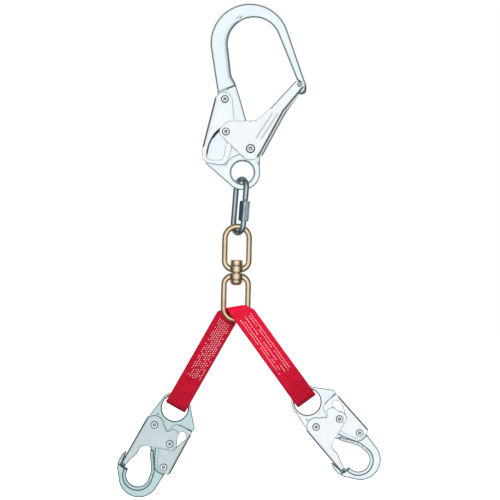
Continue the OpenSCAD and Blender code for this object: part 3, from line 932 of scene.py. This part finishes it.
def swivel_eye(foot_z, bore_r):
    """A rod loop that swells into a bored boss at its foot; its crown is at z = 0."""
    crown_z = -SWIVEL_BEND_R - ROD_R
    bend_z = foot_z + FOOT_BEND_R
    foot_x = SWIVEL_BEND_R - FOOT_BEND_R
    right = [(6.2, foot_z + 0.15)] + arc((foot_x, bend_z), FOOT_BEND_R, -80, 0, 8)
    left = [(-x, z) for x, z in right[::-1]]
    path = right + arc((0, crown_z), SWIVEL_BEND_R, 0, 180, 6) + left
    path = dense(path, 3)
    near = np.clip(1 - (abs(path[:, 0]) - 6) / 9, 0, 1) * (path[:, 1] < bend_z)
    radii = ROD_R + 0.75 * near ** 1.5
    boss = [(bore_r, -BOSS_HALF), (7.0, -BOSS_HALF), (7.9, -BOSS_HALF + 0.6), (BOSS_R, -2.0),
            (BOSS_R, 2.0), (7.9, BOSS_HALF - 0.6), (7.0, BOSS_HALF), (bore_r, BOSS_HALF)]
    hub = placed(turned(boss, 48, closed=True), at((0, foot_z)))
    return [rod(upright(path), radii, sides=28), hub]


def swivel():
    place = swivel_place()
    upper = swivel_eye(UPPER_BOSS_Z, PIN_R + CLEARANCE)
    add("swivel_upper_loop", upper, GOLD, "swivel_upper", "swivel_upper_eye", place)
    flip = at((0, LOWER_BOSS_Z - LOWER_EYE_LEN)) @ rotation(180, "X")
    lower = [placed(solid, flip) for solid in swivel_eye(-LOWER_EYE_LEN, PIN_R)]
    add("swivel_lower_loop", lower, GOLD, "swivel_lower", "swivel_lower_eye", place)
    top = UPPER_BOSS_Z + BOSS_HALF + 0.2
    low = LOWER_BOSS_Z - BOSS_HALF
    profile = [
        (0, low - 7), (3.4, low - 6.8), (5.6, low - 5.9), (7.0, low - 4.3), (7.6, low - 2.4),
        (7.6, low - 0.9), (7.2, low - 0.3), (6.2, low), (PIN_R, low), (PIN_R, top),
        (6.6, top), (7.3, top + 0.4), (7.6, top + 1.1), (7.6, top + 5.4), (7.3, top + 6.3),
        (6.4, top + 6.9), (4.2, top + 7.0), (2.2, top + 6.5), (0, top + 6.1)]
    add("swivel_spindle", [turned(profile, 48)], GOLD, "swivel_lower", "swivel_pin", place)


# ---- web sling

# The web's two edges where it folds through the swivel's loop, as [x, y, z] from the fork: from the
# front of the right leg, over the fold, to the back of the left leg.
FOLD_EDGES = (
    [(0, -6.4, 0), (-7.5, -6.4, 10.3), (-10.4, -4.9, 14.6), (-10.4, 0, 16), (-11.6, 4.2, 16),
     (-15.5, 6.6, 15.6), (-19.5, 6.5, 15.2), (-23.4, 6.4, 13.4)],
    [(21.8, -6.4, 15.9), (18.0, -6.5, 18.2), (13.6, -6.3, 19.4), (9.6, -4.4, 19.7), (8.2, 0, 19),
     (8.4, 4.8, 15.2), (6.3, 6.4, 11), (0, 6.4, 0)],
)
FOLD_MIDDLE = 3.5


def through(points, place):
    """A smooth curve through points, at a place counted in points."""
    points = np.array(points, float)
    i = min(int(place), len(points) - 2)
    t = place - i
    a, b = points[i], points[i + 1]
    before = points[i - 1] if i > 0 else 2 * a - b
    after = points[i + 2] if i + 2 < len(points) else 2 * b - a
    start, stop = (b - before) / 2, (after - a) / 2
    return (a * (1 + 2 * t) * (1 - t) ** 2 + start * t * (1 - t) ** 2
            + b * t * t * (3 - 2 * t) + stop * t * t * (t - 1))


def fold_stations(side, spacing):
    """Edge points of the web's middle layer and its outward normals, from its fold's middle to a leg."""
    end = 0 if side > 0 else len(FOLD_EDGES[0]) - 1
    places = np.linspace(FOLD_MIDDLE, end, 400)
    fork = np.array([FORK[0], 0, FORK[1]])
    lines = [(fork + through(FOLD_EDGES[0], t), fork + through(FOLD_EDGES[1], t)) for t in places]
    middles = np.array([(a + b) / 2 for a, b in lines])
    along = np.gradient(middles, axis=0) * -side
    across = np.array([b - a for a, b in lines])
    normals = normed(np.cross(along, across))
    normals *= -np.sign(normals[-1][1]) * side
    run = travelled(middles)
    count = max(4, round(run[-1] / spacing))
    picked = np.searchsorted(run, np.linspace(0, run[-1], count, endpoint=False))
    return [(lines[i][0], lines[i][1], normals[i]) for i in picked]


def leg_frame(side, leg_angle):
    """A leg's inner top corner, and the directions across it and down it."""
    a = math.radians(leg_angle)
    fork = np.array([FORK[0], -side * LEG_Y, FORK[1]])
    across = np.array([side * math.cos(a), 0, math.sin(a)])
    down = np.array([side * math.sin(a), 0, -math.cos(a)])
    return fork, across, down


def leg_stations(side, leg_angle):
    """Edge points of one folded ply: from the fold down a leg's outside, round its end loop and back."""
    fork, across, down = leg_frame(side, leg_angle)
    spacing = RIB_PITCH / 4
    neck = LEG_LEN - LOOP_NECK
    straight = LEG_LEN - LOOP_LEN
    bend = LEG_LEN - LOOP_HALF - PLY_T / 2
    half = PLY_T / 2 + CLEARANCE
    run = [(v, half + (LOOP_HALF - half) * smooth(v, neck, straight))
           for v in np.arange(0, bend, spacing)]
    turn_steps = int(math.pi * LOOP_HALF / spacing)
    turns = [math.pi * k / turn_steps for k in range(turn_steps + 1)]
    loop = [(bend + LOOP_HALF * math.sin(turn), LOOP_HALF * math.cos(turn)) for turn in turns]
    fold = fold_stations(side, spacing)
    stations = [(p + n * half, q + n * half) for p, q, n in fold]
    for v, gap in run + loop + [(v, -gap) for v, gap in run[::-1]]:
        start = fork + down * v + np.array([0, -side * gap, 0])
        ends = (start + across * 0.2, start + across * (WEB_W - 0.2))
        stations.append(ends if side > 0 else ends[::-1])
    stations += [(p - n * half, q - n * half) for p, q, n in fold[::-1]]
    return stations


def ribbon(stations, ribs):
    """A woven strip through its stations, how deep each point lies between its crosswise ribs, which sets
    the shade painted there, and its length. ribs are their heights near the fork and at the leg's end."""
    inner = np.array([first for first, _ in stations])
    outer = np.array([second for _, second in stations])
    middle = (inner + outer) / 2
    along = normed(np.gradient(middle, axis=0))
    normal = normed(np.cross(along, outer - inner))
    travel = travelled(middle)
    parts = np.linspace(0, 1, WEB_COLUMNS)
    section = [(u, 1) for u in parts] + [(u, -1) for u in parts[::-1]]
    half = PLY_T / 2
    from_fork = np.hypot(middle[:, 0] - FORK[0], middle[:, 2] - FORK[1])
    heights = ribs[0] + (ribs[1] - ribs[0]) * smooth(from_fork, 55, 100)
    points, groove_shade_at = [], []
    for i in range(len(stations)):
        for u, face in section:
            border = min(u, 1 - u) * WEB_W
            height = half - edge(np.array(border), 1.1) * 0.95
            wave = travel[i] + 0.2 * math.sin(u * 16) + 0.2 * math.sin(travel[i] * 0.21 + u * 5)
            ridge = abs(math.sin(math.pi * wave / RIB_PITCH)) ** 1.1
            height = height - min(heights[i], 0.8 * height) * (1 - ridge)
            # Painted shade between the ribs: how far the material darkens the colour here.
            groove_shade_at.append(min(1, 1.6 * heights[i] * (1 - ridge)))
            points.append(inner[i] + (outer[i] - inner[i]) * u + normal[i] * face * height)
    count = len(section)
    faces = tube(len(stations), count)
    last = (len(stations) - 1) * count
    for first in (0, last):
        for k in range(WEB_COLUMNS - 1):
            corners = (first + k, first + k + 1, first + count - 2 - k, first + count - 1 - k)
            faces.append(corners if first else corners[::-1])
    return (np.array(points), faces), groove_shade_at, float(travel[-1])


def stitch(centre, along, out, length, thick):
    """One stitch of thick thread: a bent capsule lying on the web."""
    path = []
    for part, dip in ((-0.5, -0.5), (-0.3, 0.05), (0, 0.25), (0.3, 0.05), (0.5, -0.5)):
        path.append(centre + along * length * part + out * thick * dip)
    return rod(path, [0.5 * thick, 0.9 * thick, thick, 0.9 * thick, 0.5 * thick], sides=6)


def stitch_rows(side, leg_angle, rows, start, stop, pitch, length, seed):
    """Rows of stitches along a leg, on both of its faces. A row is its distance from the leg's inner
    edge and the share of its stitches that is left out."""
    draw = random.Random(seed)
    fork, across, down = leg_frame(side, leg_angle)
    made = []
    for row, (u, skip) in enumerate(rows):
        v = start + (row % 2) * pitch / 2
        while v < stop:
            wander = draw.uniform(-0.2, 0.2)
            slant = draw.uniform(-0.06, 0.06)
            if draw.random() > skip:
                heading = down + across * slant
                for face in (-1, 1):
                    out = np.array([0, face, 0])
                    centre = fork + across * (u + wander) + down * v + out * (PLY_T + 0.04)
                    made.append(stitch(centre, heading, out, length * draw.uniform(0.8, 1.1), THREAD_R))
            v += pitch
    return made


def web_leg(label, side, leg_angle, ribs, **stitching):
    """One half of the sling's web, from the middle of its fold, with its stitches."""
    leg = label + "_leg"
    strip, groove_shade_at, cut_length = ribbon(leg_stations(side, leg_angle), ribs)
    web = make(label + "_web", [strip], WEB, sharp=60, groove_shade=groove_shade_at)
    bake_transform(web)
    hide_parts(label + "_web_leg", *(["web_saddle"] if side > 0 else []))
    rows = stitch_rows(side, leg_angle, **stitching)
    threads = make(label + "_stitching", rows, THREAD, sharp=60)
    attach(threads, leg)


# ---- snap hooks

SNAP_THROAT = [(-6, -54.5), (-2.6, -56.8), (0, -63.4), (6.6, -73.5), (10.6, -80.5), (12.3, -90)]
SNAP_THICK = [(-12, -45), (1.4, -51.5), (8.2, -65.8), (12.8, -74.6), (18.5, -77.2), (34, -76.8),
              (34, -125), (-40, -125), (-40, -60)]
SNAP_PRONG = [(-32, -60), (-32, -92), (-23.6, -89.6), (-23.6, -60)]
SNAP_DOT = (-14.8, -15.8)


def snap_nose(reach):
    """An arc across the nose at a distance from the gate's pivot."""
    return arc(SNAP_GATE_PIVOT, reach, 259.2, 267.5, 2)


def snap_outline():
    nose_z = SNAP_GATE_PIVOT[1] - math.sqrt(SNAP_NOSE_REACH ** 2 - 2.6 ** 2)
    return rounded(
        arc((0, 0), SNAP_BAND_R, 28.3, 180, 5)
        + [(-22.4, -20, 8), (-21.5, -35, 8), (-14, -46, 6), (-6, -54.5, 4), (-2.6, -56.8, 3),
           (0, -63.4, 8), (6.6, -73.5, 16), (10.9, -80.8, 12)]
        + arc(SNAP_BOWL_C, SNAP_BOWL_R, 0, -172, 5)
        + [(-14.6, nose_z, 0.8)]
        + arc(SNAP_GATE_PIVOT, SNAP_NOSE_REACH, 266, 259.2, 3)
        + [(-24.6, -86), (-26.5, -71.2, 0.8), (-29.4, -78, 2.5), (-30, -87.5, 5), (-27, -96, 8)]
        + arc(SNAP_BACK_C, SNAP_BACK_R, 211, 362, 4)
        + [(27.2, -78, 6), (27.5, -64, 6), (21, -52, 5), (11.5, -46, 3), (11, -24, 4),
           (13.5, -16, 3), (32.6, -14.9, 1.5), (33.2, -10.6, 2.6)]
    )


def snap_half(points, depth):
    """Half thickness of a snap hook's forging: a thin frame and eye, a thick bowl with a ridge round
    its inside, a thin prong beside the gate and a chamfered nose."""
    x, z = points.T
    thick = smooth(signed(points, SNAP_THICK), -0.6, 0.6)
    half = SNAP_FRAME_HALF + (SNAP_BOWL_HALF - SNAP_FRAME_HALF) * thick
    loss = edge(depth, 1.4 + 0.6 * thick)
    inner_line = SNAP_THROAT + arc(SNAP_BOWL_C, SNAP_BOWL_R, 0, -176, 6)
    inside_ridge = 1 - smooth(distance(points, inner_line), SNAP_RIDGE - 0.7, SNAP_RIDGE + 0.7)
    loss = loss + 1.3 * inside_ridge * thick * smooth(-z, 56, 59)
    prong = 1 - smooth(signed(points, SNAP_PRONG), 0, -1.2)
    loss = loss + 1.2 * prong
    nose = snap_nose(SNAP_NOSE_REACH)
    loss = loss + 0.85 * chamfer(distance(points, nose), SNAP_NOSE_W)
    eye = chamfer(np.hypot(x, z) - SNAP_EYE_R, SNAP_EYE_CHAMFER)
    dot = 0.5 * (1 - smooth(np.hypot(*(points - SNAP_DOT).T), 0.7, 1.3))
    return np.maximum(half - np.maximum(loss, eye) - dot, 0.3)


def snap_body(label, place, body, steel):
    bowl_ridge = arc(SNAP_BOWL_C, SNAP_BOWL_R + SNAP_RIDGE, 0, -176, 6)
    throat_ridge = beside(dense(SNAP_THROAT, 3), SNAP_RIDGE, False)
    creases = [
        (bowl_ridge, False, (-0.7, -0.3, 0.3, 0.7)),
        (throat_ridge, False, (-0.7, -0.3, 0.3, 0.7)),
        (SNAP_THICK[:6], False, (-0.6, -0.2, 0.2, 0.6)),
        (arc((0, 0), SNAP_EYE_R + SNAP_EYE_CHAMFER, 0, 360, 6), False, (-0.2, 0.2)),
        (ring(SNAP_DOT, 1.0, 30), True, (-0.35, 0, 0.35)),
        (snap_nose(SNAP_NOSE_REACH + SNAP_NOSE_W), False, (-0.2, 0.2)),
    ]
    holes = [ring((0, 0), SNAP_EYE_R, 5), ring(SNAP_GATE_PIVOT, SNAP_PIVOT_R, 24),
             ring(SNAP_LEVER_PIVOT, SNAP_PIVOT_R, 24)]
    forging = slab([snap_outline()] + holes, lambda p, d: -snap_half(p, d), snap_half, step=1.0,
                   edge_r=1.6, spread=2.4, creases=creases)
    add(label + "_snap_forging", [forging], steel, body, body + "_body", place)


SNAP_GATE_FOLD = [(-14, -61.4), (-13.9, -71), (-17.4, -79.7), (-18.8, -87)]
SNAP_GATE_BACK = [(-23.6, -25.6), (-24.4, -27), (-25.9, -87.6), (-25.4, -88.7), (-19.5, -89.7)]
SNAP_GATE_REACH = 61.2


def snap_gate(label, place, body, steel):
    outline = rounded(
        arc(SNAP_GATE_PIVOT, SNAP_GATE_REACH, 257.2, 263.4, 3)
        + [(-18.8, -87, 1), (-17.4, -79.7, 8), (-13.9, -71, 8), (-14, -60.4, 5),
         (-9.5, -56.4, 4), (-3.7, -54.8, 10), (20.8, -46.6, 6)]
        + arc(SNAP_STUD, 8.6, -46, 48)
        + arc((12.4, -30.4), 8, -12, 108)
        + [(5.7, -29, 1.2)]
        + arc(SNAP_GATE_PIVOT, 11, 32, 150)
        + [(-24.4, -25, 2)]
    )
    holes = [ring(SNAP_GATE_PIVOT, SNAP_PIVOT_R, 24), ring(SNAP_STUD, SNAP_STUD_R, 36)]
    solids = channel(outline, holes, SNAP_GATE_PLATE, SNAP_GATE_FOLD[::-1], folds=(SNAP_GATE_FOLD,),
                     coined=(SNAP_GATE_BACK,))
    add(label + "_gate_channel", solids, steel, body + "_gate", body + "_gate", place)
    reach = SNAP_GATE_PLATE[1]
    locks = studs(SNAP_STUD, SNAP_STUD_R, SNAP_FRAME_HALF + 0.3, reach, *SNAP_HEAD)
    add(label + "_lock_studs", locks, RIVET, body + "_gate", body + "_lock_studs", place)
    hinge = rivet(SNAP_GATE_PIVOT, SNAP_PIVOT_R, reach + CLEARANCE, *SNAP_HEAD)
    add(label + "_gate_rivet", [hinge], RIVET, body, body + "_gate_rivet", place)
    coil = torsion_spring(SNAP_GATE_PIVOT, SNAP_COIL_R, 4.1, ((60, 6), (300, 8)))
    add(label + "_gate_spring", [coil], SPRING, body, body + "_gate_spring", place)


SNAP_LEVER_FOLD = [(32.9, -21), (32.85, -72)]


def snap_lever(label, place, body, steel):
    outline = rounded(
        [(12.4, -15.8, 2), (22, -14.6, 20), (32.4, -15.6, 2), (33, -21), (32.9, -72, 3),
         (30.8, -75.2, 3), (18.5, -75.3, 5), (14.6, -72.4, 6), (11.1, -64.4, 8), (6.2, -52, 5),
         (6.3, -27.3, 6), (7, -22, 4), (9.1, -17.7, 3)]
    )
    window = rounded(
        [(20, -22.6, 1.5), (22.6, -19.8, 2.5), (28.1, -22.4, 2.5), (29.3, -27.2, 3), (24.1, -40.2, 2),
         (21.5, -44, 2), (14, -44, 1.5), (12.4, -41, 1.5), (14.4, -27.4, 2), (17.4, -25.6, 1)]
    )
    holes = [window, ring(SNAP_LEVER_PIVOT, SNAP_PIVOT_R, 24)]
    solids = channel(outline, holes, SNAP_LEVER_PLATE, SNAP_LEVER_FOLD[::-1],
                     coined=(SNAP_LEVER_FOLD,))
    add(label + "_release_lever", solids, steel, body + "_lever", body + "_lever", place)
    hinge = rivet(SNAP_LEVER_PIVOT, SNAP_PIVOT_R, SNAP_LEVER_PLATE[1] + CLEARANCE, *SNAP_HEAD)
    add(label + "_lever_rivet", [hinge], RIVET, body, body + "_lever_rivet", place)
    coil = torsion_spring(SNAP_LEVER_PIVOT, SNAP_COIL_R, 1.7, ((0, 1), (180, 1)))
    add(label + "_lever_spring", [coil], SPRING, body, body + "_lever_spring", place)


def snap_place(body):
    """Where a snap hook hangs, worked out from the two hinges that it carries."""
    gate, lever = pivot(body + "_gate_hinge"), pivot(body + "_lever_hinge")
    own = np.array(SNAP_LEVER_PIVOT) - np.array(SNAP_GATE_PIVOT)
    there = flat(lever) - flat(gate)
    turn = math.atan2(own[1], own[0]) - math.atan2(there[1], there[0])
    turned_frame = Matrix.Rotation(turn, 4, "Y")
    return Matrix.Translation(gate) @ turned_frame @ at(-np.array(SNAP_GATE_PIVOT))


def snap_hook(label, forged, stamped):
    body = label + "_snap"
    place = snap_place(body)
    snap_body(label, place, body, forged)
    snap_gate(label, place, body, stamped)
    snap_lever(label, place, body, stamped)


# ---- studio

FLOOR_DROP = 0.12
PICTURE_W = 0.6
PICTURE_MIDDLE = (-0.0048, -0.2472)
CAMERA_AWAY = 2.0


def pale_floor():
    mesh = bpy.data.meshes.new("floor")
    half = 6.0
    corners = [(-half, -half, 0), (half, -half, 0), (half, half, 0), (-half, half, 0)]
    mesh.from_pydata(corners, [], [(0, 1, 2, 3)])
    floor = bpy.data.objects.new("floor", mesh)
    floor.location.z = cad_box[0].z - FLOOR_DROP
    bpy.context.scene.collection.objects.link(floor)
    material, _, _, shader = new_material("pale_floor")
    shader.inputs["Base Color"].default_value = (0.9, 0.9, 0.9, 1)
    shader.inputs["Roughness"].default_value = 0.9
    shader.inputs["Emission Color"].default_value = (1, 1, 1, 1)
    shader.inputs["Emission Strength"].default_value = 0.9
    mesh.materials.append(material)
    floor.visible_glossy = False
    floor.visible_diffuse = False


def sky():
    """What the metal mirrors: pale in front and behind, dark all round. The camera sees white."""
    world = bpy.data.worlds.new("studio")
    bpy.context.scene.world = world
    world.use_nodes = True
    nodes, links = world.node_tree.nodes, world.node_tree.links
    background = nodes["Background"]
    place = nodes.new("ShaderNodeTexCoord")
    split = nodes.new("ShaderNodeSeparateXYZ")
    links.new(place.outputs["Generated"], split.inputs["Vector"])
    size_y = nodes.new("ShaderNodeMath")
    size_y.operation = "ABSOLUTE"
    links.new(split.outputs["Y"], size_y.inputs[0])
    tent = ramp_node(nodes, links, size_y, (0.03, 0.055, 0.06), (1.12, 1.14, 1.15), (0.30, 0.96))
    tent.color_ramp.elements.new(0.74).color = (0.44, 0.50, 0.52, 1)
    rays = nodes.new("ShaderNodeLightPath")
    mix = nodes.new("ShaderNodeMix")
    mix.data_type = "RGBA"
    links.new(rays.outputs["Is Camera Ray"], mix.inputs[0])
    links.new(tent.outputs["Color"], mix.inputs[6])
    mix.inputs[7].default_value = (1, 1, 1, 1)
    links.new(mix.outputs[2], background.inputs["Color"])
    background.inputs["Strength"].default_value = 1.0


def soft_light(name, offset, width, power):
    """A square light that faces the lanyard's middle and doesn't show in the metal."""
    light = bpy.data.lights.new(name, "AREA")
    light.size = width
    light.energy = power
    made = bpy.data.objects.new(name, light)
    middle = (cad_box[0] + cad_box[1]) / 2
    place = middle + Vector(offset)
    made.location = place
    made.rotation_mode = "QUATERNION"
    made.rotation_quaternion = (place - middle).to_track_quat("Z", "Y")
    made.visible_glossy = False
    bpy.context.scene.collection.objects.link(made)


def studio():
    pale_floor()
    sky()
    soft_light("key_light", (-0.9, -1.2, 1.2), 0.8, 26)
    soft_light("fill_light", (1.2, -1.2, 0.3), 0.8, 6)
    soft_light("back_light", (0.3, 1.4, 1.0), 1.0, 12)
    bpy.context.scene.view_settings.view_transform = "Standard"


def camera():
    """Square on to the hooks, far enough away to flatten the view as a long lens does."""
    data = bpy.data.cameras.new("camera")
    data.sensor_width = 36
    data.lens = data.sensor_width * CAMERA_AWAY / PICTURE_W
    made = bpy.data.objects.new("camera", data)
    made.location = (PICTURE_MIDDLE[0], -CAMERA_AWAY, PICTURE_MIDDLE[1])
    made.rotation_euler = (math.radians(90), 0, 0)
    bpy.context.scene.collection.objects.link(made)
    bpy.context.scene.camera = made


camera()
studio()
rebar_hook()
rebar_gate()
rebar_lever()
screw_link()
swivel()
# The left snap hook gets the darker zinc copies, with its shade painted into the colour.
snap_hook("left", SHADED_ZINC, SHADED_STAMPED)
snap_hook("right", ZINC, STAMPED)
web_leg(
    "left", side=-1, leg_angle=29.8, ribs=(0.7, 0.8),
    start=6, stop=84, pitch=RIB_PITCH, length=1.7, seed=3,
    rows=[(4.5, 0.4), (7, 0.15), (9.5, 0.1), (12, 0.1), (14.5, 0.1), (17, 0.15), (19.5, 0.35)],
)
web_leg(
    "right", side=1, leg_angle=36, ribs=(0.15, 0.75),
    start=1, stop=82, pitch=3.4, length=2.8, seed=5,
    rows=[(6, 0.08), (9, 0.2), (13, 0.3), (17.5, 0.08), (20.5, 0.04)],
)
